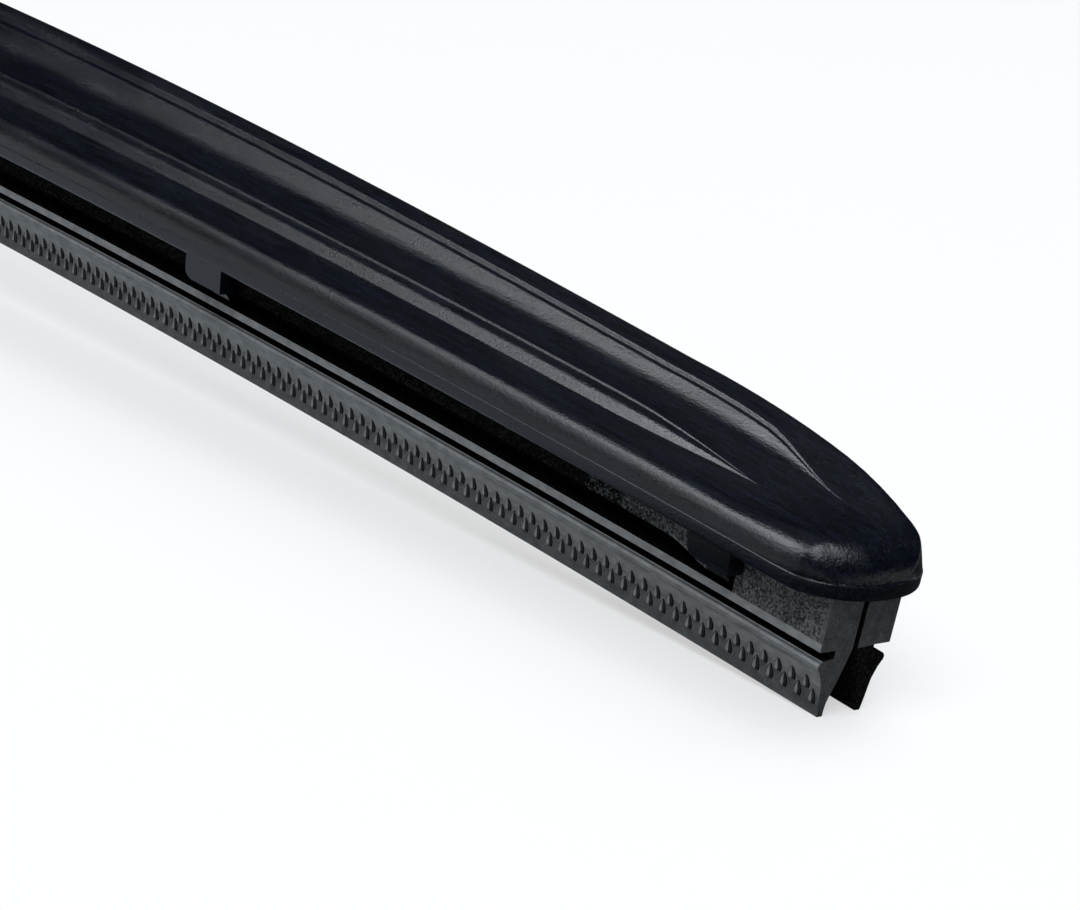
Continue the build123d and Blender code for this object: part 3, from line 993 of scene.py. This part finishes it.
@dataclass
class RubberBlade:
    """The twin-lip rubber: lips with nubs, neck groove, flange, claw slot, head, and moulded end blocks."""

    bow: Bow
    lip_profile: Profile = (
        (4.72, 5.31), (4.26, 4.64), (3.98, 4.0), (3.73, 3.36), (3.58, 2.5), (3.46, 1.6), (3.3, 0.7),
        (3.15, 0.0),
    )
    lip_inside: Profile = (
        (2.4, 0.0), (2.4, 0.7), (2.3, 1.5), (1.95, 2.5), (1.45, 3.7), (0.95, 5.2), (0.375, 7.1),
    )
    lip_start: Span = (0.1, 0.04)
    shoulder_height: float = 6.2
    shoulder_half: float = 4.85
    shoulder_edges: Profile = ((-0.35, 0.05), (0.05, -0.4))
    shoulder_round: float = 0.25
    shoulder_line: Profile = ((4.88, 5.62), (4.8, 5.6), (4.8, 5.54), (4.87, 5.52))
    groove_wall: float = 2.85
    groove_bottom: float = 6.37
    flange_bottom: float = 7.27
    flange_top: float = 8.17
    flange_half: float = 5.15
    edge_round: float = 0.12
    slot_wall: float = 2.2
    head_bottom: float = 10.22
    rail_bottom: float = 12.32
    rail_slot: float = 1.0
    rail_width: float = 3.05
    rail_roof: float = 0.1
    head_top: float = 14.52
    slit_top: float = 13.72
    slit_step: float = 1.0
    slit_roof: float = 0.4
    block_length: float = 12.9
    block_height: float = 13.15
    pocket_length: float = 4.0
    ramp_length: float = 7.5
    ramp_drop: float = 1.3
    run_steps: int = 44
    ramp_steps: int = 9
    plain_edge: float = 0.5
    top_round: float = 0.2

    # Distance from the end, and round of the top there
    block_edge: Profile = ((1.1, 0.2), (1.05, 0.5), (0.55, 0.5), (0.5, 0.2), (0.0, 0.2))

    nub_pitch: float = 2.0
    nub_rows: Span = (1.42, 2.68)
    # Painted shade on the nub's gentle left and steep right sides
    nub_left_shade: float = 0.3
    nub_right_shade: float = 0.9
    nub_height: float = 0.95
    nub_margin: float = 1.0
    path_points: int = 121

    # Outline of a nub's foot along the blade and up, and its top with the height out of the lip
    nub_foot: Profile = (
        (-0.46, 0.02), (0.4, -0.08), (0.48, 0.34), (0.3, 0.94), (0.1, 1.3), (-0.06, 1.22), (-0.26, 0.78),
    )
    nub_top: Profile = (
        (-0.36, 0.06, 0.18), (0.27, 0.0, 0.38), (0.34, 0.36, 0.38), (0.19, 0.88, 0.29),
        (0.07, 1.17, 0.17), (-0.03, 1.12, 0.14), (-0.18, 0.74, 0.19),
    )

    # Sides of the outline that are steep, and the border round the foot
    nub_steep: tuple[int, ...] = (1, 2, 3)
    border_middle: Span = (0.02, 0.58)
    border_growth: Span = (1.22, 1.16)
    border_bottom: float = -0.1
    border_top: float = 0.03
    foot_top: float = 0.05

    # Painted shade and darker tone on the rubber's faces: shade where the cover's rim, the lips and the
    # slots hide the light and on faces turned from it, plus dark lines along the lip and a darker lower lip
    edge_lines: Profile = ((5.3, 5.36), (5.53, 5.61))
    end_face_shade: float = 0.74
    shoulder_edge_shade: float = 0.59
    block_side_shade: float = 0.63
    lower_lip_dark: float = 0.58
    line_dark: float = 0.85
    lip_dark_height: float = 4.2
    lip_dark_fade: float = 2.4
    head_shade_start: float = 20.0
    head_shade_fade: float = 17.0
    fine_grain: float = 0.2
    core_margin: float = 0.8
    end_margin: float = 0.01
    groove_margin: float = 0.15
    face_margin: float = 0.05
    edge_below: float = 0.4
    edge_above: float = 0.1
    edge_inside: float = 0.3

    def section(self, slot_top: float, filled: bool, top_cut: float | None = None) -> Section:
        """Closed cross-section of the rubber.

        Args:
            slot_top: Height of the claw slot's roof.
            filled: True in the end block, where both slots are closed and the head is lower.
            top_cut: Size of the rounded edge along the top, if it isn't the usual one.

        Returns:
            The points, from the middle of the top over the far half and back over the near half.
        """
        edge = self.flange_half
        top = self.block_height if filled else self.head_top
        slot = edge if filled else self.slot_wall
        rail_top = min(self.rail_bottom + self.rail_slot, top - self.rail_roof)
        rail_in = edge if filled else edge - self.rail_width
        lip_y, lip_h = self.lip_profile[0]
        outside = rounded([
            Corner(0, top), Corner(edge, top, self.top_round if top_cut is None else top_cut, 3),
            Corner(edge, rail_top), Corner(rail_in, rail_top),
            Corner(rail_in, self.rail_bottom), Corner(edge, self.rail_bottom),
            Corner(edge, slot_top, self.edge_round, 3), Corner(slot, slot_top),
            Corner(slot, self.flange_top), Corner(edge, self.flange_top),
            Corner(edge, self.flange_bottom, self.edge_round, 3),
            Corner(self.groove_wall, self.flange_bottom), Corner(self.groove_wall, self.groove_bottom),
            *(Corner(self.shoulder_half + y, self.shoulder_height + h, self.shoulder_round, 4)
              for y, h in self.shoulder_edges),
            *(Corner(y, h) for y, h in self.shoulder_line),
            Corner(lip_y + self.lip_start[0], lip_h + self.lip_start[1]),
        ])
        slit = self.lip_inside[-1][0]
        roof = [(slit, self.slit_top - self.slit_step), (slit, min(self.slit_top, top - self.slit_roof))]
        half = [*outside, *self.lip_profile, *self.lip_inside, *roof]
        return half + [(-y, h) for y, h in half[:0:-1]]

    def ramp(self, along: float) -> float:
        """Height of the claw slot's roof over the ramp, along from 0 to 1."""
        return self.head_bottom - self.ramp_drop * ease((along + along * along) / 2)

    def sections(self) -> list[tuple[float, Section]]:
        """Closed sections from the left end to the right end.

        Returns:
            Pairs of arc length and section.
        """
        half = self.bow.half_length
        block = half - self.block_length
        ramp_end = block - self.pocket_length
        ramp_start = ramp_end - self.ramp_length
        plain = self.section(self.head_bottom, False)
        right = [(u, plain) for u in spread(0, ramp_start, self.run_steps)]
        for along in spread(0, 1, self.ramp_steps)[1:]:
            right.append((ramp_start + self.ramp_length * along, self.section(self.ramp(along), False)))
        right += [(ramp_end, plain), (block, plain), (block, self.section(self.head_bottom, True))]
        for inset, cut in self.block_edge:
            right.append((half - inset, self.section(self.head_bottom, True, cut)))
        return [(-u, section) for u, section in right[:0:-1]] + right

    def caps(self) -> list[list[int]]:
        """Section points of each end in three faces: far block, far lip, and the whole near half.

        Returns:
            Rows of places in the section.
        """
        section = self.section(self.head_bottom, True)
        count = len(section)
        middle = (count + 1) // 2
        neck = section.index((self.groove_wall, self.flange_bottom))
        slit = section.index(self.lip_inside[-1])
        block = [*range(neck + 1), *range(slit, middle)]
        lip = list(range(neck, slit + 1))
        near = [0, *range(middle - 1, count)]
        return [block, lip, near]

    def build(self, name: str) -> bpy.types.Object:
        """Build the rubber bar, with its grain and its painted shade marked on its faces.

        Args:
            name: Name of the object.

        Returns:
            The object.
        """
        shell = Shell(self.bow)
        shell.loft(self.sections(), self.caps())
        piece = add_smooth(name, shell.mesh(name))
        grain = piece.data.attributes.new("grain", "FLOAT", "FACE")
        painted_shade_and_tone = piece.data.attributes.new("painted_shade_and_tone", "FLOAT", "FACE")
        for face, rough, pit_and_shade_dark in zip(piece.data.polygons, grain.data, painted_shade_and_tone.data):
            middle = face.center / MM
            across = abs(middle.y)
            radial = middle.z + self.bow.depth
            height = math.hypot(middle.x, radial) - self.bow.radius
            along = self.bow.half_length - self.bow.radius * math.atan2(abs(middle.x), radial)
            cut_end = along < self.plain_edge
            outside = across > self.slot_wall + self.core_margin
            head_ramp = along < self.head_shade_start + self.head_shade_fade
            head = height > self.flange_top and outside
            rough.value = 1.0 if head and head_ramp and not cut_end else self.fine_grain
            # Painted shade and darker tone of each face
            pit_and_shade_dark.value = self.shade_and_tone_share(along, middle.y, height)
        return piece

    def shade_and_tone_share(self, along: float, y: float, h: float) -> float:
        """Share of painted shade and darker tone on a face: full shade in slots, grooves and between the
        lips, part shade on the ends, shoulder edge, block and head, and a darker tone on lines and the
        lower lip.

        Args:
            along: Distance of the face's middle from the end of the blade.
            y: Its offset across.
            h: Its height above the lip edge.

        Returns:
            The share, from 0 to 1.
        """
        across = abs(y)
        rim = self.shoulder_half - self.edge_inside
        # Painted shade on the cut end faces, and all of it on the far lip's end face
        if along < self.end_margin:
            return 1.0 if y > 0 and h < self.flange_bottom else self.end_face_shade
        # Painted shade between the lips, on their inner faces and in the slit
        if across < self.slot_wall + self.core_margin and h < self.slit_top:
            return 1.0
        # Painted shade on the upturned edge of the lip's shoulder
        if self.groove_bottom - self.edge_below < h < self.flange_bottom - self.edge_above and across > rim:
            return self.shoulder_edge_shade
        # Painted shade in the neck groove, and on the flange's top and in the claw slot under the cover
        in_groove = self.groove_bottom - self.groove_margin < h < self.flange_bottom + self.face_margin
        in_slot = self.flange_top - self.face_margin < h < self.rail_bottom and along > self.block_length
        if in_groove and across < rim or in_slot and across < self.flange_half - self.face_margin:
            return 1.0
        # Dark lines along the top of the lip
        if any(low < h < high for low, high in self.edge_lines):
            return self.line_dark
        # The lip grows darker towards its edge
        if h < self.flange_top:
            return self.lower_lip_dark * ease((self.lip_dark_height - h) / self.lip_dark_fade)
        # Painted shade on the end block above the flange, which the cover's rim shades
        if along < self.block_length:
            return self.block_side_shade
        # Painted shade on the head above the flange, deeper further from the end where the cover's rim
        # shades it
        head_ramp = ease((along - self.head_shade_start) / self.head_shade_fade)
        return self.block_side_shade + (1 - self.block_side_shade) * head_ramp

    def lip_offset(self, h: float) -> float:
        """Offset of the lip's outside at a height.

        Args:
            h: Height above the lip edge.

        Returns:
            The offset across.
        """
        for (y1, h1), (y0, h0) in zip(self.lip_profile, self.lip_profile[1:]):
            if h0 <= h <= h1:
                return y0 + (y1 - y0) * (h - h0) / (h1 - h0)
        return self.lip_profile[-1][0]

    def nub(self, side: Side, row: float) -> bpy.types.Object:
        """One wedge nub: pointed at its top, sloping up from its left and steep on its right.

        Args:
            side: Long side that it stands on.
            row: Height of its foot above the lip edge.

        Returns:
            The nub at its own origin, X along the blade and Z away from the glass.
        """
        rise = self.lip_offset(row + self.nub_height) - self.lip_offset(row)
        lean = rise / self.nub_height

        def at(x: float, h: float, out: float) -> Vector:
            """Point of the nub, leaning with the lip."""
            return Vector((x, side.value * (lean * h + out), h)) * MM

        def border(x: float, h: float) -> tuple[float, float]:
            """Point of the border round the foot."""
            x0, h0 = self.border_middle
            return x0 + (x - x0) * self.border_growth[0], h0 + (h - h0) * self.border_growth[1]

        rings = [[(*border(x, h), out) for x, h in self.nub_foot]
                 for out in (self.border_bottom, self.border_top)]
        rings += [[(x, h, self.foot_top) for x, h in self.nub_foot], self.nub_top]
        shell = Shell(self.bow)
        shell.skin([shell.add(at(*corner) for corner in ring) for ring in rings])
        # The border round the foot gets full painted shade, the sides painted shade by their slope with the
        # steep right side darkest, and the top none
        count = len(self.nub_top)
        sides = [self.nub_right_shade if i in self.nub_steep else self.nub_left_shade for i in range(count)]
        shades = [*[1.0] * (2 * count), *sides, 1.0, 0.0]
        mesh = shell.mesh("nub")
        painted_shade_and_tone = mesh.attributes.new("painted_shade_and_tone", "FLOAT", "FACE")
        painted_shade_and_tone.data.foreach_set("value", shades)
        return bpy.data.objects.new("nub", mesh)

    def nub_path(self, side: Side, row: float, shift: float) -> bpy.types.Object:
        """Path of edges along one row of nubs, shifted along the blade.

        Args:
            side: Long side of the lip.
            row: Height of the row above the lip edge.
            shift: Shift along the blade.

        Returns:
            The path, in the scene.
        """
        reach = self.bow.half_length - self.nub_margin
        stations = spread(-reach + shift, reach - self.nub_pitch / 2 + shift, self.path_points)
        offset = side.value * self.lip_offset(row)
        points = [self.bow.point(u, offset, row) for u in stations]
        mesh = bpy.data.meshes.new("nub_path")
        mesh.from_pydata(points, [(i, i + 1) for i in range(len(points) - 1)], [])
        return add_object("nub_path", mesh)

    def nub_tree(self) -> Tree:
        """Node tree that sets one nub after another along a path.

        Returns:
            The tree, with inputs for the path, the nub, its pitch and its material.
        """
        tree = bpy.data.node_groups.new("nub_row", "GeometryNodeTree")
        for name, kind in (("Geometry", "NodeSocketGeometry"), ("Nub", "NodeSocketObject"),
                           ("Pitch", "NodeSocketFloat"), ("Material", "NodeSocketMaterial")):
            tree.interface.new_socket(name, in_out="INPUT", socket_type=kind)
        tree.interface.new_socket("Geometry", in_out="OUTPUT", socket_type="NodeSocketGeometry")
        given = add_node(tree, "NodeGroupInput").outputs
        curve = add_node(tree, "GeometryNodeMeshToCurve", {"Mesh": given["Geometry"]})
        spaced = add_node(tree, "GeometryNodeResampleCurve", {
            "Curve": curve.outputs["Curve"], "Length": given["Pitch"],
        }, mode="LENGTH")
        tangent = add_node(tree, "GeometryNodeInputTangent")
        turn = add_node(tree, "FunctionNodeAlignRotationToVector", {
            "Vector": tangent.outputs["Tangent"],
        }, axis="X")
        nub = add_node(tree, "GeometryNodeObjectInfo", {"Object": given["Nub"]})
        row = add_node(tree, "GeometryNodeInstanceOnPoints", {
            "Points": spaced.outputs["Curve"], "Instance": nub.outputs["Geometry"],
            "Rotation": turn.outputs["Rotation"],
        })
        real = add_node(tree, "GeometryNodeRealizeInstances", {"Geometry": row.outputs["Instances"]})
        dressed = add_node(tree, "GeometryNodeSetMaterial", {
            "Geometry": real.outputs["Geometry"], "Material": given["Material"],
        })
        add_node(tree, "NodeGroupOutput", {"Geometry": dressed.outputs["Geometry"]})
        return tree

    def nubs(self, name: str, material: bpy.types.Material) -> bpy.types.Object:
        """Build both rows of nubs on both lips.

        Args:
            name: Name of the object.
            material: Material of the rubber.

        Returns:
            The object with all nubs in one mesh.
        """
        tree = self.nub_tree()
        inputs = [item for item in tree.interface.items_tree if item.in_out == "INPUT"]
        sockets = {item.name: item.identifier for item in inputs}
        work = bmesh.new()
        for side in Side:
            for row, shift in zip(self.nub_rows, (self.nub_pitch / 2, 0.0)):
                path = self.nub_path(side, row, shift)
                nub = self.nub(side, row)
                rows = path.modifiers.new("nub_row", "NODES")
                rows.node_group = tree
                rows[sockets["Nub"]] = nub
                rows[sockets["Pitch"]] = self.nub_pitch * MM
                rows[sockets["Material"]] = material
                shape = path.evaluated_get(bpy.context.evaluated_depsgraph_get())
                mesh = bpy.data.meshes.new_from_object(shape)
                work.from_mesh(mesh)
                path.modifiers.remove(rows)
                bpy.data.objects.remove(path)
                bpy.data.objects.remove(nub)
                bpy.data.meshes.remove(mesh)
        mesh = bpy.data.meshes.new(name)
        work.to_mesh(mesh)
        work.free()
        mesh.materials.append(material)
        return add_smooth(name, mesh)


# Studio


@dataclass
class Softbox:
    """A rectangular soft lamp that looks at the blade, with the first of its sizes along the blade."""

    name: str
    direction: tuple[float, float, float]
    distance: float
    size: tuple[float, float]
    power: float
    use: LampUse = LampUse.BOTH
    tint: tuple[float, float, float] = (0.92, 0.96, 1.0)

    def build(self, target: Vector) -> bpy.types.Object:
        """Hang the lamp towards a point of the blade.

        Args:
            target: Point that it looks at, in metres.

        Returns:
            The lamp's object.
        """
        lamp = bpy.data.lights.new(self.name, "AREA")
        lamp.shape = "RECTANGLE"
        lamp.size, lamp.size_y = self.size
        lamp.energy = self.power
        lamp.color = self.tint
        holder = add_object(self.name, lamp)
        away = Vector(self.direction).normalized()
        along = (Vector((1, 0, 0)) - away * away.x).normalized()
        turn = Matrix((along, away.cross(along), away)).transposed().to_4x4()
        holder.matrix_world = Matrix.Translation(target + away * self.distance) @ turn
        holder.visible_glossy = self.use is not LampUse.LIGHT
        holder.visible_diffuse = self.use is not LampUse.GLOSS
        return holder


@dataclass
class Studio:
    """White floor, dark room with a pale horizon, soft lamps and the camera."""

    target: Vector
    camera_place: tuple[float, float, float] = (0.468753, -0.236913, 0.107)
    camera_right: tuple[float, float, float] = (0.65907, 0.73576, 0.15583)
    camera_up: tuple[float, float, float] = (-0.30404, 0.07114, 0.95)
    image_width: float = 1080.0
    focal_pixels: float = 3223.5
    sensor_mm: float = 36.0
    clip_m: Span = (0.01, 100.0)
    floor_half: float = 12.0
    floor_white: float = 0.39
    floor_bounce: float = 0.65
    floor_glow: float = 0.57
    floor_mirrored: float = 0.7
    mirrored_tint: str = "#e8f4ff"
    cloth_start: float = 0.2
    cloth_end: float = 0.24
    cloth_mirrored: float = 0.05
    horizon_end: float = 0.1
    room_start: float = 0.2
    room_level: float = 0.012

    def floor(self) -> bpy.types.Object:
        """White floor: mostly plain white to the camera, with a lit share that keeps the shadow.

        Returns:
            The floor's object.
        """
        mesh = bpy.data.meshes.new("floor")
        h = self.floor_half
        mesh.from_pydata([(-h, -h, 0), (h, -h, 0), (h, h, 0), (-h, h, 0)], [], [[0, 1, 2, 3]])
        material = bpy.data.materials.new("white_floor")
        tree = clear_nodes(material)
        ray = add_node(tree, "ShaderNodeLightPath").outputs
        mirrored = add_math(tree, "MAXIMUM", ray["Is Glossy Ray"], ray["Is Transmission Ray"])
        # Black cloth past the right tip, which only reflections meet
        place = add_node(tree, "ShaderNodeTexCoord").outputs["Object"]
        along = add_node(tree, "ShaderNodeSeparateXYZ", {"Vector": place}).outputs["X"]
        cloth = add_span(tree, along, (self.cloth_start, self.cloth_end),
                         (self.floor_mirrored, self.cloth_mirrored))
        tint = add_node(tree, "ShaderNodeMixRGB", {
            "Fac": mirrored, "Color1": (1, 1, 1, 1), "Color2": linear(self.mirrored_tint),
        })
        glow = add_node(tree, "ShaderNodeEmission", {
            "Color": tint.outputs["Color"], "Strength": add_span(tree, mirrored, FULL, (1.0, cloth)),
        })
        white = add_span(tree, ray["Is Camera Ray"], FULL, (self.floor_bounce, self.floor_white))
        lit = add_node(tree, "ShaderNodeBsdfDiffuse", {"Color": white})
        seen = add_math(tree, "MULTIPLY", ray["Is Camera Ray"], self.floor_glow)
        share = add_math(tree, "MAXIMUM", seen, mirrored)
        mix = add_node(tree, "ShaderNodeMixShader", {0: share, 1: lit.outputs[0], 2: glow.outputs[0]})
        add_node(tree, "ShaderNodeOutputMaterial", {"Surface": mix.outputs[0]})
        mesh.materials.append(material)
        return add_object("floor", mesh)

    def room(self) -> None:
        """World: white at the horizon, dark above it."""
        world = bpy.data.worlds.new("studio")
        bpy.context.scene.world = world
        tree = clear_nodes(world)
        way = add_node(tree, "ShaderNodeTexCoord").outputs["Generated"]
        rise = add_node(tree, "ShaderNodeSeparateXYZ", {"Vector": way}).outputs["Z"]
        level = add_span(tree, rise, (self.horizon_end, self.room_start), (1.0, self.room_level),
                         interpolation_type="SMOOTHSTEP")
        sky = add_node(tree, "ShaderNodeBackground", {"Color": (1, 1, 1, 1), "Strength": level})
        add_node(tree, "ShaderNodeOutputWorld", {"Surface": sky.outputs["Background"]})

    def camera(self) -> None:
        """Camera at the photograph's place, angle and field of view."""
        data = bpy.data.cameras.new("camera")
        data.sensor_fit = "HORIZONTAL"
        data.sensor_width = self.sensor_mm
        data.lens = self.focal_pixels / self.image_width * self.sensor_mm
        data.clip_start, data.clip_end = self.clip_m
        camera = add_object("camera", data)
        right = Vector(self.camera_right).normalized()
        up = Vector(self.camera_up).normalized()
        back = right.cross(up)
        turn = Matrix((right, up, back)).transposed().to_4x4()
        camera.matrix_world = Matrix.Translation(self.camera_place) @ turn
        bpy.context.scene.camera = camera

    def lamps(self) -> list[Softbox]:
        """The soft lamps: some draw the cover's highlights, the others light floor and rubber.

        Returns:
            The lamps, not yet hung.
        """
        return [
            Softbox("key_softbox", (-0.4, -0.43, 0.81), 1.3, (0.7, 0.5), 10.5, LampUse.GLOSS),
            Softbox("low_softbox", (-0.45, -0.72, 0.53), 1.3, (0.6, 0.45), 2.8, LampUse.GLOSS),
            Softbox("top_softbox", (0.27, 0.0, 0.96), 1.3, (0.6, 0.95), 12.0, LampUse.GLOSS),
            Softbox("back_card", (-0.42, 0.41, 0.81), 1.3, (0.8, 0.6), 0.2),
            Softbox("back_softbox", (-0.28, 0.54, 0.79), 1.6, (1.2, 1.8), 38.0, LampUse.LIGHT),
            Softbox("over_softbox", (0.12, 0.05, 0.99), 1.6, (1.2, 1.2), 17.0, LampUse.LIGHT),
            Softbox("front_softbox", (0.3, -0.58, 0.76), 1.6, (1.2, 0.9), 46.0, LampUse.LIGHT),
        ]

    def build(self) -> None:
        """Set up the whole studio."""
        self.floor()
        self.room()
        self.camera()
        for lamp in self.lamps():
            lamp.build(self.target)
        bpy.context.scene.view_settings.view_transform = "Standard"


# The part


COVER = MouldedCover("moulded_elastomer_cover", "#000001", "#050912", 0.25, ior=1.42)
RUBBER = WipingRubber("vulcanised_wiper_rubber", "#47494a", "#5c5e5f", 0.6)
RAIL = BrushedMetal("rolled_spring_steel", "#8d8e90", "#a9aaac", 0.32, metallic=1.0)
RIVET = BrushedMetal("plated_rivet_steel", "#a5a5a6", "#c0c0c0", 0.28, metallic=1.0,
                     line_mm=(0.3, 4.0, 0.3))
CASTING = FinePlastic("powder_coated_steel_bridge", "#141415", "#1c1c1e", 0.45)
SLEEVE = FinePlastic("natural_acetal_sleeve", "#c9c6bd", "#d6d3ca", 0.4)
ADAPTER = FinePlastic("glass_filled_nylon_adapter", "#191a1c", "#232427", 0.5)


@dataclass
class CentreFittings:
    """Bridge, rivet, sleeve, adapter, shroud and rails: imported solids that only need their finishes."""

    finishes: dict[str, str] = field(default_factory=lambda: {
        "spring_rail_near": "rail", "spring_rail_far": "rail", "bridge": "casting", "pivot_rivet": "rivet",
        "rivet_sleeve": "sleeve", "arm_adapter": "adapter", "bridge_shroud": "cover",
    })

    def dress(self, materials: dict[str, bpy.types.Material]) -> None:
        """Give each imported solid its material.

        Args:
            materials: Materials by the name of the finish.
        """
        for node, finish in self.finishes.items():
            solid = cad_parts[node]
            solid.data.materials.clear()
            solid.data.materials.append(materials[finish])
            LOG.info("%s: finish %s", node, finish)


def main() -> None:
    """Build and dress the blade, then set up the studio."""
    logging.basicConfig(level=logging.INFO, format="%(name)s: %(message)s")
    finishes = {
        "cover": COVER, "rubber": RUBBER, "rail": RAIL, "rivet": RIVET, "casting": CASTING,
        "sleeve": SLEEVE, "adapter": ADAPTER,
    }
    materials = {name: finish.material() for name, finish in finishes.items()}
    bow = Bow()
    half = CoverHalf(bow)
    for end, node in ((End.RIGHT, "cover_right"), (End.LEFT, "cover_left")):
        cover = half.build(end, f"{node}_moulding")
        cover.data.materials.append(materials["cover"])
        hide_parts(node)
        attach(cover, BODY)
        LOG.info("%s: %d faces", cover.name, len(cover.data.polygons))
    blade = RubberBlade(bow)
    bar = blade.build("rubber_bar")
    bar.data.materials.append(materials["rubber"])
    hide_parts("wiping_rubber")
    nubs = blade.nubs("lip_nubs", materials["rubber"])
    for piece in (bar, nubs):
        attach(piece, BODY)
        LOG.info("%s: %d faces", piece.name, len(piece.data.polygons))
    CentreFittings().dress(materials)
    Studio(bow.point(*LAMP_AIM)).build()


if __name__ == "__main__":
    main()
